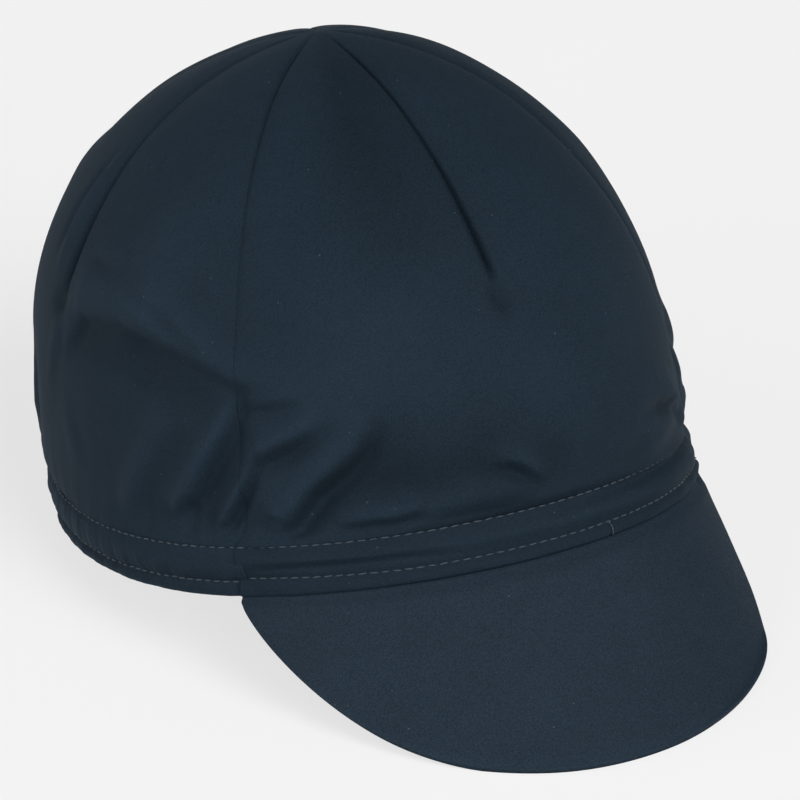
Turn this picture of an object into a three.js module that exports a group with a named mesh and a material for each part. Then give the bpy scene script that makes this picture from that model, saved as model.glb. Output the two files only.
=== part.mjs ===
// Cycling cap of dark cotton, lying on a flat surface on its peak and the back of its rim.
// Millimetres, +Z up, the peak points to -Y, the wearer's right is -X.
// Each piece of cloth is its own closed wall, and neighbours keep a small gap at their seams.
import * as THREE from 'three';

// Cloth thicknesses and gaps
const crownCloth = 1.3;
const bandCloth = 2.0;
const peakCloth = 2.4;
const seamGap = 0.32;

// Level rings round the head, as half-lengths from its centre.
// egg draws the front of a ring narrower and its back wider.
const rings = {
  hem: { front: 96.6, back: 101.0, side: 82.9, egg: -0.012 },
  join: { front: 93.3, back: 104.1, side: 83.2, egg: -0.012 },
  crown: { front: 95.1, back: 107.4, side: 82.2, egg: 0.057 },
};
const ringSquareness = 2.03;

// Heights above the plane of the rim
const bandHeight = 12.5;
const crownBase = 18;
const crownTop = 124.9;
const topSetback = 5;

// The rim waves up at the front and back and down at the sides.
const rimWave = { twoWaves: 3.5, threeWaves: -0.3, shareAtCrownBase: 0.3 };

// How the crown curves at the front, back and side: rise shapes its height and round its plan.
const crownCurve = {
  front: { rise: 1.94, round: 1.66 },
  back: { rise: 2.92, round: 1.57 },
  side: { rise: 2.47, round: 1.83 },
};

// Seams and darts run from the band to the top. Angles are from the front, positive to the wearer's right.
// lean is how far a line has turned at the top, bow how far its middle stands off.
const lines = {
  farSeam: { angle: -55.5, lean: -5.4, bow: 4.1 },
  frontDart: { angle: 0, lean: 0, bow: 0 },
  nearSeam: { angle: 55.5, lean: 5.4, bow: -1.5 },
  rightDart: { angle: 105.4, lean: -0.5, bow: -4.2 },
  rightBackSeam: { angle: 156, lean: 2, bow: 0 },
  back: { angle: 180, lean: 0, bow: 0 },
  leftBackSeam: { angle: 204, lean: -2, bow: 0 },
  leftDart: { angle: 254.6, lean: 0.5, bow: 4.2 },
  farSeamFromBack: { angle: 304.5, lean: -5.4, bow: 4.1 },
};

// Each dart is a groove from the top that ends above the band in a small dimple.
const darts = [
  { line: 'frontDart', end: 0.34, width: 2.4, depth: 1.0, dimple: 1.2 },
  { line: 'rightDart', end: 0.25, width: 3.6, depth: 2.0, dimple: 1.6 },
  { line: 'leftDart', end: 0.27, width: 3.2, depth: 1.6, dimple: 1.4 },
];
const dartFade = 0.06;
const dimpleSize = 6;
const seamWidth = 2.2;
const seamDepth = 0.6;

// Folds of the crown, each from one point to another as angle and height above the rim's plane.
// Positive depths stand out and negative ones go in, at the first end and at the last.
const folds = [
  // The long crease across the near side panel, lit above and dark below
  { a1: 94, z1: 69, a2: 76, z2: 68, width: 6, depth1: 2.0, depth2: 1.8 },
  { a1: 76, z1: 68, a2: 57, z2: 58, width: 5, depth1: 1.8, depth2: 0.9 },
  { a1: 94, z1: 61, a2: 76, z2: 59, width: 6, depth1: -1.6, depth2: -1.8 },
  { a1: 76, z1: 59, a2: 58, z2: 50, width: 5, depth1: -1.8, depth2: -0.8 },
  { a1: 88, z1: 77, a2: 65, z2: 68, width: 6, depth1: -1.0, depth2: -0.6 },
  // Puckers that rise from the band beside the near seam
  { a1: 71, z1: 18, a2: 56, z2: 41, width: 4.5, depth1: 1.6, depth2: 0.8 },
  { a1: 66, z1: 17, a2: 56, z2: 34, width: 4, depth1: -1.6, depth2: -0.7 },
  { a1: 51, z1: 34, a2: 43, z2: 45, width: 4, depth1: 1.3, depth2: 0.5 },
  { a1: 51, z1: 28, a2: 41, z2: 37, width: 4, depth1: -1.4, depth2: -0.5 },
  { a1: 47, z1: 22, a2: 33, z2: 43, width: 4.5, depth1: 1.8, depth2: 0.7 },
  { a1: 47, z1: 17, a2: 31, z2: 38, width: 4.5, depth1: -2.0, depth2: -0.8 },
  { a1: 79, z1: 17, a2: 73, z2: 42, width: 5.5, depth1: 1.4, depth2: 0.7 },
  { a1: 75, z1: 19, a2: 70, z2: 38, width: 4, depth1: -1.2, depth2: -0.5 },
  // Soft swells above the front of the band
  { a1: -3, z1: 18, a2: 7, z2: 32, width: 5, depth1: -1.1, depth2: -0.5 },
  { a1: 40, z1: 20, a2: 10, z2: 24, width: 4.5, depth1: 0.9, depth2: 0.9 },
  { a1: -44, z1: 18, a2: -31, z2: 29, width: 5, depth1: -1.0, depth2: -0.4 },
  // The far side
  { a1: 268, z1: 62, a2: 302, z2: 52, width: 6, depth1: -1.7, depth2: -0.7 },
  { a1: 266, z1: 70, a2: 300, z2: 60, width: 6, depth1: 1.7, depth2: 0.7 },
  { a1: 292, z1: 18, a2: 303, z2: 38, width: 4.5, depth1: -1.6, depth2: -0.6 },
  { a1: 286, z1: 18, a2: 297, z2: 42, width: 4.5, depth1: 1.4, depth2: 0.6 },
  { a1: 262, z1: 18, a2: 266, z2: 40, width: 5, depth1: -1.2, depth2: -0.4 },
  { a1: 236, z1: 19, a2: 240, z2: 44, width: 6, depth1: 1.3, depth2: 0.5 },
  { a1: 225, z1: 19, a2: 226, z2: 38, width: 5, depth1: -1.3, depth2: -0.4 },
  // The back, where the elastic draws the cloth in
  { a1: 98, z1: 18, a2: 96, z2: 40, width: 5, depth1: -1.2, depth2: -0.5 },
  { a1: 116, z1: 18, a2: 113, z2: 44, width: 6, depth1: 1.3, depth2: 0.5 },
  { a1: 132, z1: 18, a2: 131, z2: 39, width: 5, depth1: -1.4, depth2: -0.4 },
  { a1: 148, z1: 18, a2: 146, z2: 42, width: 6, depth1: 1.2, depth2: 0.5 },
  { a1: 167, z1: 18, a2: 168, z2: 40, width: 5, depth1: -1.3, depth2: -0.4 },
  { a1: 190, z1: 18, a2: 188, z2: 40, width: 5, depth1: -1.2, depth2: -0.4 },
  { a1: 210, z1: 18, a2: 212, z2: 42, width: 6, depth1: 1.3, depth2: 0.5 },
];
const arcPerDegree = 1.55;

// The relief grows from the band upwards and is calm round the very top. In climbs, as in crownSurface.
const reliefGrows = { from: -1, to: -0.2 };
const reliefCalms = { from: 0.93, to: 1 };

// Sections of the two bands, from the hem up: how far each level stands out
const frontBandSection = [
  { up: 0, out: 0 },
  { up: 1.0, out: 0.8 },
  { up: 2.8, out: 0.7 },
  { up: 3.7, out: -0.1 },
  { up: 5.0, out: 0.9 },
  { up: 6.8, out: 1.0 },
  { up: 8.8, out: 1.1 },
  { up: 11.0, out: 0.7 },
  { up: 12.2, out: 0 },
];
const backBandSection = [
  { up: 0, out: 0 },
  { up: 3.7, out: 0.1 },
  { up: 8.0, out: 0.9 },
  { up: 12.2, out: 0 },
];

// Creases along the front band
const bandCreases = [
  { from: 16, to: 56, up: 6.4, width: 1.6, depth: -1.0 },
  { from: -56, to: -20, up: 10.6, width: 1.6, depth: -0.9 },
];
const creaseFade = 8;

// Elastic gathers of the back band
const gatherCount = 50;
const gatherDepth = 0.6;
const gatherFade = 6;
const gatherShareAtEdges = 0.35;

// Peak: reach in front of the rim, fall for each millimetre forward, how its bend eases forwards,
// and the roundness of its outline
const peakReach = 32.7;
const peakFall = 1.39;
const peakUnbend = 0.000108;
const peakOutline = { acrossPower: 2.18, forwardPower: 2.42, waist: 0.015 };
const peakEdgeThickness = 1.2;
const peakCornerTurn = 0.5;
const peakRoot = { inset: 0.2, thickness: 1.9, below: 0.35 };
const peakShares = [0, 0.07, 0.18, 0.34, 0.5, 0.66, 0.82, 0.965, 1];
const peakColumns = 26;

// Resting pose: the rim is pitched up at the front, and cloth below the surface is pressed flat.
const pitch = 11.36;
const surfaceHeight = -15.3;

// Panels of the crown: the lines that bound each one, the line in its middle, and its columns of faces
const panels = [
  { name: 'crown_front_panel', from: 'farSeam', middle: 'frontDart', to: 'nearSeam', columns: 28 },
  { name: 'crown_right_panel', from: 'nearSeam', middle: 'rightDart', to: 'rightBackSeam', columns: 24 },
  { name: 'crown_back_panel', from: 'rightBackSeam', middle: 'back', to: 'leftBackSeam', columns: 10 },
  { name: 'crown_left_panel', from: 'leftBackSeam', middle: 'leftDart', to: 'farSeamFromBack', columns: 24 },
];
const frontBandColumns = 30;

// Rows of faces up a panel: wall rows above the band, then dome rows that crowd low down, where the folds are
const wallRows = 2;
const domeRows = 19;
const rowCrowding = 1.5;
const columnCrowding = 0.05;

// Finish of the cloth
const crownFinish = { color: 0x26303a, roughness: 0.85, metalness: 0 };
const bandFinish = { color: 0x242e38, roughness: 0.88, metalness: 0 };
const peakFinish = { color: 0x2a343e, roughness: 0.82, metalness: 0 };

const radians = THREE.MathUtils.degToRad;
const mix = THREE.MathUtils.lerp;

// A point of a level ring at an angle. shrink draws the ring in towards the crown's top.
function ringPoint(ring, angle, height, shrink = 1) {
  const c = Math.cos(radians(angle));
  const s = Math.sin(radians(angle));
  const length = c > 0 ? ring.front : ring.back;
  const square = (Math.abs(c) ** ringSquareness + Math.abs(s) ** ringSquareness) ** (-1 / ringSquareness);
  const x = -ring.side * s * square * shrink * (1 - ring.egg * c);
  const y = -length * c * square * shrink + topSetback * (1 - shrink);
  return new THREE.Vector3(x, y, height);
}

function rimHeight(angle) {
  return rimWave.twoWaves * Math.cos(radians(2 * angle)) + rimWave.threeWaves * Math.cos(radians(3 * angle));
}

// How the crown curves at an angle, between its front or back and its side
function curveAt(angle) {
  const c2 = Math.cos(radians(angle)) ** 2;
  const end = Math.cos(radians(angle)) > 0 ? crownCurve.front : crownCurve.back;
  return { rise: mix(crownCurve.side.rise, end.rise, c2), round: mix(crownCurve.side.round, end.round, c2) };
}

// The smooth crown. climb is -1 at the band, 0 at the crown's base and 1 at its top.
function crownSurface(angle, climb) {
  const turn = radians(90 * Math.max(climb, 0));
  const curve = curveAt(angle);
  const rise = Math.sin(turn) ** (2 / curve.rise);
  const shrink = Math.max(Math.cos(turn), 0) ** (2 / curve.round);
  const wave = rimHeight(angle) * rimWave.shareAtCrownBase * (1 - rise);
  const point = ringPoint(rings.crown, angle, mix(crownBase, crownTop, rise) + wave, shrink);
  if (climb >= 0) return point;
  const foot = ringPoint(rings.join, angle, rimHeight(angle) + bandHeight);
  const height = mix(foot.z, point.z, climb + 1);
  return foot.lerp(point, Math.sin(radians(90 * (climb + 1)))).setZ(height);
}

// Outward direction of the smooth crown
function crownNormal(angle, climb) {
  if (climb === 1) return new THREE.Vector3(0, 0, 1);
  const climbStep = 0.004;
  const angleStep = 0.2;
  const across = crownSurface(angle + angleStep, climb).sub(crownSurface(angle - angleStep, climb));
  const upper = crownSurface(angle, Math.min(climb + climbStep, 1));
  const along = upper.sub(crownSurface(angle, Math.max(climb - climbStep, -1)));
  const normal = across.cross(along).negate().normalize();
  return climb === -1 ? normal.setZ(0).normalize() : normal;
}

function lineAngle(line, climb) {
  const v = Math.max(climb, 0);
  return line.angle + line.lean * v + line.bow * Math.sin(Math.PI * v);
}

function bump(distance, width) {
  return Math.exp(-((distance / width) ** 2));
}

// How far one fold lifts a point
function foldLift(fold, angle, height) {
  const run = { x: (fold.a2 - fold.a1) * arcPerDegree, z: fold.z2 - fold.z1 };
  const off = { x: (angle - fold.a1) * arcPerDegree, z: height - fold.z1 };
  const share = THREE.MathUtils.clamp((off.x * run.x + off.z * run.z) / (run.x ** 2 + run.z ** 2), 0, 1);
  const distance = Math.hypot(off.x - run.x * share, off.z - run.z * share);
  return mix(fold.depth1, fold.depth2, share) * bump(distance, fold.width);
}

// How far a dart and the dimple at its end press in
function dartPress(dart, angle, climb, height) {
  const line = lines[dart.line];
  const reach = THREE.MathUtils.smoothstep(climb, dart.end - dartFade, dart.end + dartFade);
  const off = (angle - lineAngle(line, climb)) * arcPerDegree * Math.cos(radians(90 * Math.max(climb, 0)));
  const endHeight = crownSurface(line.angle, dart.end).z;
  const groove = dart.depth * bump(off, dart.width) * reach;
  const dimple = dart.dimple * bump(Math.hypot(off, height - endHeight), dimpleSize);
  return groove + dimple;
}

// The same direction as an angle, counted to lie within half a turn of another
function nearestTurn(angle, reference) {
  return reference + THREE.MathUtils.euclideanModulo(angle - reference + 180, 360) - 180;
}

// The relief of the crown at a point: its folds and darts
function crownRelief(angle, climb) {
  const height = crownSurface(angle, climb).z;
  let lift = 0;
  for (const fold of folds) lift += foldLift(fold, nearestTurn(angle, fold.a1), height);
  for (const dart of darts) {
    lift -= dartPress(dart, nearestTurn(angle, lines[dart.line].angle), climb, height);
  }
  const grown = THREE.MathUtils.smoothstep(climb, reliefGrows.from, reliefGrows.to);
  const calmed = THREE.MathUtils.smoothstep(climb, reliefCalms.from, reliefCalms.to);
  return lift * grown * (1 - calmed);
}

// Turns a point of the upright cap into the resting pose and presses it onto the surface.
function laid(point) {
  const turned = point.clone().applyAxisAngle(new THREE.Vector3(1, 0, 0), radians(-pitch));
  turned.z = Math.max(turned.z - surfaceHeight, 0);
  return turned;
}

// A closed wall between two sheets of points, each a list of rows from the bottom up.
function wallGeometry(outer, inner) {
  const positions = [];
  const index = [];
  const known = new Map();
  const number = (point) => {
    const key = [point.x, point.y, point.z].map((value) => value.toFixed(3)).join();
    if (!known.has(key)) {
      known.set(key, known.size);
      positions.push(point.x, point.y, point.z);
    }
    return known.get(key);
  };
  const triangle = (a, b, c) => {
    if (a !== b && b !== c && c !== a) index.push(a, b, c);
  };
  const quad = (...corners) => {
    const [a, b, c, d] = corners.map(number);
    triangle(a, b, c);
    triangle(a, c, d);
  };
  const top = outer.length - 1;
  const end = outer[0].length - 1;
  for (let r = 0; r < top; r++) {
    for (let c = 0; c < end; c++) {
      quad(outer[r][c], outer[r + 1][c], outer[r + 1][c + 1], outer[r][c + 1]);
      quad(inner[r][c], inner[r][c + 1], inner[r + 1][c + 1], inner[r + 1][c]);
    }
    quad(outer[r + 1][0], outer[r][0], inner[r][0], inner[r + 1][0]);
    quad(outer[r][end], outer[r + 1][end], inner[r + 1][end], inner[r][end]);
  }
  for (let c = 0; c < end; c++) {
    quad(outer[0][c], outer[0][c + 1], inner[0][c + 1], inner[0][c]);
    quad(outer[top][c + 1], outer[top][c], inner[top][c], inner[top][c + 1]);
  }
  const geometry = new THREE.BufferGeometry();
  geometry.setAttribute('position', new THREE.Float32BufferAttribute(positions, 3));
  geometry.setIndex(index);
  geometry.computeVertexNormals();
  return geometry;
}

function piece(name, outer, inner, finish) {
  const lay = (rows) => rows.map((row) => row.map(laid));
  const mesh = new THREE.Mesh(wallGeometry(lay(outer), lay(inner)), new THREE.MeshStandardMaterial(finish));
  mesh.name = name;
  return mesh;
}

// Climbs of a panel's rows, from the band to the top
function rowClimbs() {
  const climbs = [];
  for (let i = 0; i < wallRows; i++) climbs.push(i / wallRows - 1);
  for (let i = 0; i <= domeRows; i++) climbs.push((i / domeRows) ** rowCrowding);
  return climbs;
}

// Shares of the way between two lines of a panel, closer together beside both
function columnShares(count) {
  const shares = [];
  for (let i = 0; i <= count; i++) {
    const share = i / count;
    shares.push(share - columnCrowding * Math.sin(2 * Math.PI * share));
  }
  return shares;
}

// One crown panel between two seams, with a line in its middle that its columns follow.
// It is set out from the crown's middle by enough to keep the gap at its seams.
function crownPanel(panel) {
  const bounds = [panel.from, panel.middle, panel.to].map((name) => lines[name]);
  const half = columnShares(panel.columns / 2);
  const halfWidth = radians((bounds[2].angle - bounds[0].angle) / 2);
  const facing = radians((bounds[2].angle + bounds[0].angle) / 2);
  const apart = new THREE.Vector3(-Math.sin(facing), -Math.cos(facing), 0);
  apart.multiplyScalar(seamGap / 2 / Math.sin(halfWidth));
  const outer = [];
  const inner = [];
  for (const climb of rowClimbs()) {
    const [start, centre, end] = bounds.map((line) => lineAngle(line, climb));
    const angles = half.map((share) => mix(start, centre, share));
    angles.push(...half.slice(1).map((share) => mix(centre, end, share)));
    const shrink = Math.cos(radians(90 * Math.max(climb, 0)));
    const outerRow = [];
    const innerRow = [];
    for (const angle of angles) {
      const normal = crownNormal(angle, climb);
      const toSeam = Math.min(angle - start, end - angle) * arcPerDegree * shrink;
      const relief = crownRelief(angle, climb) - seamDepth * bump(toSeam, seamWidth) * shrink;
      const skin = crownSurface(angle, climb).addScaledVector(normal, relief).add(apart);
      outerRow.push(skin);
      innerRow.push(skin.clone().addScaledVector(normal, -crownCloth));
    }
    outer.push(outerRow);
    inner.push(innerRow);
  }
  return piece(panel.name, outer, inner, crownFinish);
}

// One band from one angle to another. relief(angle, up) adds its creases or gathers.
function band(name, section, fromAngle, toAngle, columns, relief) {
  const endGap = seamGap / 2 / arcPerDegree;
  const step = 0.5;
  const outer = [];
  const inner = [];
  for (const level of section) {
    const outerRow = [];
    const innerRow = [];
    for (let i = 0; i <= columns; i++) {
      const angle = mix(fromAngle + endGap, toAngle - endGap, i / columns);
      const hem = ringPoint(rings.hem, angle, rimHeight(angle));
      const join = ringPoint(rings.join, angle, rimHeight(angle) + bandHeight);
      const across = ringPoint(rings.hem, angle + step, 0).sub(ringPoint(rings.hem, angle - step, 0));
      const normal = new THREE.Vector3(-across.y, across.x, 0).normalize();
      const skin = hem.lerp(join, level.up / bandHeight);
      skin.addScaledVector(normal, level.out + relief(angle, level.up));
      outerRow.push(skin);
      innerRow.push(skin.clone().addScaledVector(normal, -bandCloth));
    }
    outer.push(outerRow);
    inner.push(innerRow);
  }
  return piece(name, outer, inner, bandFinish);
}

function frontBand() {
  const relief = (angle, up) => {
    let lift = 0;
    for (const crease of bandCreases) {
      const startFade = THREE.MathUtils.smoothstep(angle, crease.from, crease.from + creaseFade);
      const endFade = 1 - THREE.MathUtils.smoothstep(angle, crease.to - creaseFade, crease.to);
      lift += crease.depth * bump(up - crease.up, crease.width) * startFade * endFade;
    }
    return lift;
  };
  const corner = lines.nearSeam.angle;
  return band('front_band', frontBandSection, -corner, corner, frontBandColumns, relief);
}

function backBand() {
  const from = lines.nearSeam.angle;
  const to = 360 - from;
  const relief = (angle, up) => {
    const ripple = Math.cos(radians(((angle - from) / (to - from)) * 360 * gatherCount));
    const startFade = THREE.MathUtils.smoothstep(angle, from, from + gatherFade);
    const endFade = 1 - THREE.MathUtils.smoothstep(angle, to - gatherFade, to);
    const waist = Math.sin(Math.PI * Math.min(up / bandHeight, 1));
    return gatherDepth * ripple * startFade * endFade * mix(gatherShareAtEdges, 1, waist);
  };
  return band('back_band', backBandSection, from, to, 2 * gatherCount, relief);
}

// The peak's sheet falls forwards and bends down to both sides, less so towards its edge.
function peakHeight(x, y) {
  const corner = ringPoint(rings.hem, lines.nearSeam.angle, rimHeight(lines.nearSeam.angle));
  const rootBend = (rimHeight(0) + peakFall * (corner.y + rings.hem.front) - corner.z) / corner.x ** 2;
  const bend = rootBend - peakUnbend * (corner.y - y);
  return rimHeight(0) + peakFall * (y + rings.hem.front) - bend * x ** 2;
}

// The peak's sheet: turn runs round its edge from 0 to 180 degrees, share from its root to its edge.
function peakSurface(turn, share) {
  const corner = ringPoint(rings.hem, lines.nearSeam.angle, 0);
  const rootAngle = lines.nearSeam.angle * Math.cos(radians(turn));
  const root = ringPoint(rings.hem, rootAngle, rimHeight(rootAngle));
  const c = Math.cos(radians(turn));
  const s = Math.sin(radians(turn));
  const waist = 1 - peakOutline.waist * 2 * s * Math.abs(c);
  const edgeX = corner.x * Math.sign(c) * Math.abs(c) ** (2 / peakOutline.acrossPower) * waist;
  const edgeY = corner.y - (rings.hem.front + peakReach + corner.y) * s ** (2 / peakOutline.forwardPower);
  const x = mix(root.x, edgeX, share);
  const y = mix(root.y, edgeY, share);
  const rootStep = (root.z - peakHeight(root.x, root.y)) * (1 - share) ** 2;
  return new THREE.Vector3(x, y, peakHeight(x, y) + rootStep);
}

function peakNormal(point) {
  const step = 0.1;
  const slopeX = (peakHeight(point.x + step, point.y) - peakHeight(point.x - step, point.y)) / (2 * step);
  const slopeY = (peakHeight(point.x, point.y + step) - peakHeight(point.x, point.y - step)) / (2 * step);
  return new THREE.Vector3(-slopeX, -slopeY, 1).normalize();
}

// The peak hangs from under the front band. Its first row is its root, cut level below the band.
function peak() {
  const outer = [];
  const inner = [];
  for (const share of peakShares) {
    const outerRow = [];
    const innerRow = [];
    for (let i = 0; i <= peakColumns; i++) {
      const turn = mix(peakCornerTurn, 180 - peakCornerTurn, i / peakColumns);
      const skin = peakSurface(turn, share);
      if (share === 0) {
        const inward = new THREE.Vector3(-skin.x, -skin.y, 0).normalize();
        skin.addScaledVector(inward, peakRoot.inset).setZ(skin.z - peakRoot.below);
        outerRow.push(skin);
        innerRow.push(skin.clone().addScaledVector(inward, peakRoot.thickness));
      } else {
        const normal = peakNormal(skin);
        const thickness = share === 1 ? peakEdgeThickness : peakCloth;
        outerRow.push(skin.clone().addScaledVector(normal, thickness / 2));
        innerRow.push(skin.clone().addScaledVector(normal, -thickness / 2));
      }
    }
    outer.push(outerRow);
    inner.push(innerRow);
  }
  return piece('peak', outer, inner, peakFinish);
}

const cap = new THREE.Group();
for (const panel of panels) cap.add(crownPanel(panel));
cap.add(frontBand());
cap.add(backBand());
cap.add(peak());

// The origin is the middle of the cap's footprint, on the surface it lies on.
const extent = new THREE.Box3().setFromObject(cap);
const middle = extent.getCenter(new THREE.Vector3());
cap.position.set(-middle.x, -middle.y, -extent.min.z);

export default cap;
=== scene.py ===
import math
import bpy
import bmesh
import numpy as np
from mathutils import Matrix, Vector


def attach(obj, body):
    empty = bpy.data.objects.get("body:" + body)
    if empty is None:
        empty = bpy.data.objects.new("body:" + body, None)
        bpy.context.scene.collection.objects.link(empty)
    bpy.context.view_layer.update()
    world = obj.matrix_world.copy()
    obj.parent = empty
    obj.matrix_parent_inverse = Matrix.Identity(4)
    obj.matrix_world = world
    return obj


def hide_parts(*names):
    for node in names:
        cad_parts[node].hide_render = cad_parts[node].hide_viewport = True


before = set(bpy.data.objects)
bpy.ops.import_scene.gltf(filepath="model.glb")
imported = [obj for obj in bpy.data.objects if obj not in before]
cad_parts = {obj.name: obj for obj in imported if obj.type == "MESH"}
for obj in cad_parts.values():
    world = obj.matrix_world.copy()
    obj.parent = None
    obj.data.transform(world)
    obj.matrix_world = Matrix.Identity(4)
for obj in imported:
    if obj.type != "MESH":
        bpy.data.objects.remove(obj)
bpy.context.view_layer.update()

# A dark cotton cycling cap, lying on its peak and the back of its rim.
# Shapes are worked out in millimetres in the upright frame of the rim, with angles
# from the front, positive to the wearer's right, and laid on the floor in metres.

capShape = {
    "hem": {"front": 96.6, "back": 101.0, "side": 82.9, "egg": -0.012},
    "join": {"front": 93.3, "back": 104.1, "side": 83.2, "egg": -0.012},
    "crown": {"front": 95.1, "back": 107.4, "side": 82.2, "egg": 0.057},
    "squareness": 2.03,
    "bandHeight": 12.5,
    "crownBase": 18.0,
    "crownTop": 124.9,
    "topSetback": 5.0,
    "rimTwoWaves": 3.5,
    "rimThreeWaves": -0.3,
    "waveAtCrownBase": 0.3,
    "frontCurve": {"rise": 1.94, "round": 1.66},
    "backCurve": {"rise": 2.92, "round": 1.57},
    "sideCurve": {"rise": 2.47, "round": 1.83},
    "arcPerDegree": 1.55,  # mm of cloth for each degree at the rim
}

restPose = {"pitch": 11.36, "surface": -15.3, "forward": 10.87}

# Seams and darts from the band to the top, in degrees
seamLines = {
    "farSeam": {"angle": -55.5, "lean": -5.4, "bow": 4.1},
    "frontDart": {"angle": 0.0, "lean": 0.0, "bow": 0.0},
    "nearSeam": {"angle": 55.5, "lean": 5.4, "bow": -1.5},
    "rightDart": {"angle": 106.0, "lean": -0.5, "bow": -4.5},
    "rightBackSeam": {"angle": 156.0, "lean": 2.0, "bow": 0.0},
    "back": {"angle": 180.0, "lean": 0.0, "bow": 0.0},
    "leftBackSeam": {"angle": 204.0, "lean": -2.0, "bow": 0.0},
    "leftDart": {"angle": 254.6, "lean": 0.5, "bow": 4.2},
}
# the far seam again, as the angle reached by going on round the back
seamLines["farSeamFromBack"] = dict(seamLines["farSeam"], angle=seamLines["farSeam"]["angle"] + 360)


# Small helpers

def smooth(value, start, end):
    share = np.clip((value - start) / (end - start), 0, 1)
    return share * share * (3 - 2 * share)


def mix(a, b, share):
    return a + (b - a) * share


def bump(distance, width):
    return np.exp(-(distance / width) ** 2)


def nearestTurn(angle, reference):  # the same direction, counted within half a turn of the reference
    return reference + (angle - reference + 180) % 360 - 180


def around(angle, centre, width):  # 1 at the centre, falling off to both sides
    return bump(nearestTurn(angle, centre) - centre, width)


wanderSet = {"waves": 9, "sizes": (0.7, 1.6), "phases": (0, 6.28), "tamed": 4}


def unevenness(points, size, seed):  # a soft value between about -1 and 1 that wanders through space
    rng = np.random.default_rng(seed)
    total = 0
    for _ in range(wanderSet["waves"]):
        direction = rng.normal(size=3)
        direction = direction / np.linalg.norm(direction) / (size * rng.uniform(*wanderSet["sizes"]))
        total = total + np.sin(points @ direction * 2 * np.pi + rng.uniform(*wanderSet["phases"]))
    return total / wanderSet["tamed"]


def newObject(name, data):
    item = bpy.data.objects.new(name, data)
    bpy.context.collection.objects.link(item)
    return item


def fill(tree, node, inputs):  # each input takes a value, or a link from another node's socket
    for label, value in inputs.items():
        if isinstance(value, bpy.types.NodeSocket):
            tree.links.new(value, node.inputs[label])
        else:
            node.inputs[label].default_value = value
    return node


def addNode(tree, kind, inputs, **settings):
    node = tree.nodes.new(kind)
    for key, value in settings.items():
        setattr(node, key, value)
    return fill(tree, node, inputs)


def newMaterial(name):
    material = bpy.data.materials.new(name)
    material.use_nodes = True
    return material, material.node_tree, material.node_tree.nodes["Principled BSDF"]


# Surfaces of the cap

def ringPoint(ring, angle, height, shrink=1.0):
    sizes = capShape[ring]
    c, s = np.cos(np.radians(angle)), np.sin(np.radians(angle))
    power = capShape["squareness"]
    square = (np.abs(c) ** power + np.abs(s) ** power) ** (-1 / power)
    length = np.where(c > 0, sizes["front"], sizes["back"])
    x = -sizes["side"] * s * square * shrink * (1 - sizes["egg"] * c)
    y = -length * c * square * shrink + capShape["topSetback"] * (1 - shrink)
    return np.stack(np.broadcast_arrays(x, y, height), -1)


def rimHeight(angle):
    turn = np.radians(angle)
    return capShape["rimTwoWaves"] * np.cos(2 * turn) + capShape["rimThreeWaves"] * np.cos(3 * turn)


def crownSurface(angle, climb):  # climb is -1 at the band, 0 at the crown's base and 1 at its top
    turn = np.clip(climb, 0, 1) * np.pi / 2
    c = np.cos(np.radians(angle))
    curves = {}
    for key in ("rise", "round"):
        end = np.where(c > 0, capShape["frontCurve"][key], capShape["backCurve"][key])
        curves[key] = mix(capShape["sideCurve"][key], end, c * c)
    rise = np.sin(turn) ** (2 / curves["rise"])
    shrink = np.clip(np.cos(turn), 0, 1) ** (2 / curves["round"])
    wave = rimHeight(angle) * capShape["waveAtCrownBase"] * (1 - rise)
    height = mix(capShape["crownBase"], capShape["crownTop"], rise) + wave
    dome = ringPoint("crown", angle, height, shrink)
    foot = ringPoint("join", angle, rimHeight(angle) + capShape["bandHeight"])
    share = np.clip(climb + 1, 0, 1) + 0 * c
    wall = mix(foot, dome, np.sin(share * np.pi / 2)[..., None])
    wall[..., 2] = mix(foot[..., 2], dome[..., 2], share)
    return np.where((climb + 0 * c < 0)[..., None], wall, dome)


def narrowing(climb):  # 1 up to the crown's base, and 0 where its seams meet at the top
    return np.cos(np.clip(climb, 0, 1) * np.pi / 2)


def unit(vectors):
    return vectors / np.maximum(np.linalg.norm(vectors, axis=-1, keepdims=True), 1e-9)


# Half steps, in degrees, climb and mm, that slopes are measured over
slopeSteps = {"crownAngle": 0.2, "crownClimb": 0.003, "crownTop": 0.9999, "ringAngle": 0.5, "peak": 0.1}


def crownNormal(angle, climb):
    turn, step = slopeSteps["crownAngle"], slopeSteps["crownClimb"]
    across = crownSurface(angle + turn, climb) - crownSurface(angle - turn, climb)
    along = (crownSurface(angle, np.minimum(climb + step, 1))
             - crownSurface(angle, np.maximum(climb - step, -1)))
    normal = unit(np.cross(along, across))
    top = (climb + 0 * angle > slopeSteps["crownTop"])[..., None]
    return np.where(top, np.array([0, 0, 1.0]), normal)


def ringNormal(angle):
    step = slopeSteps["ringAngle"]
    across = ringPoint("hem", angle + step, 0.0) - ringPoint("hem", angle - step, 0.0)
    return unit(np.stack([-across[..., 1], across[..., 0], 0 * across[..., 0]], -1))


def lineAngle(line, climb):
    v = np.clip(climb, 0, 1)
    return line["angle"] + line["lean"] * v + line["bow"] * np.sin(np.pi * v)


def laid(points):  # from the upright frame in mm to the floor in metres, pressed flat where it rests
    turn = math.radians(restPose["pitch"])
    y = points[..., 1] * math.cos(turn) + points[..., 2] * math.sin(turn) + restPose["forward"]
    z = -points[..., 1] * math.sin(turn) + points[..., 2] * math.cos(turn) - restPose["surface"]
    return np.stack([points[..., 0], y, np.maximum(z, 0)], -1) / 1000


# Camera, lights and floor

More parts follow.
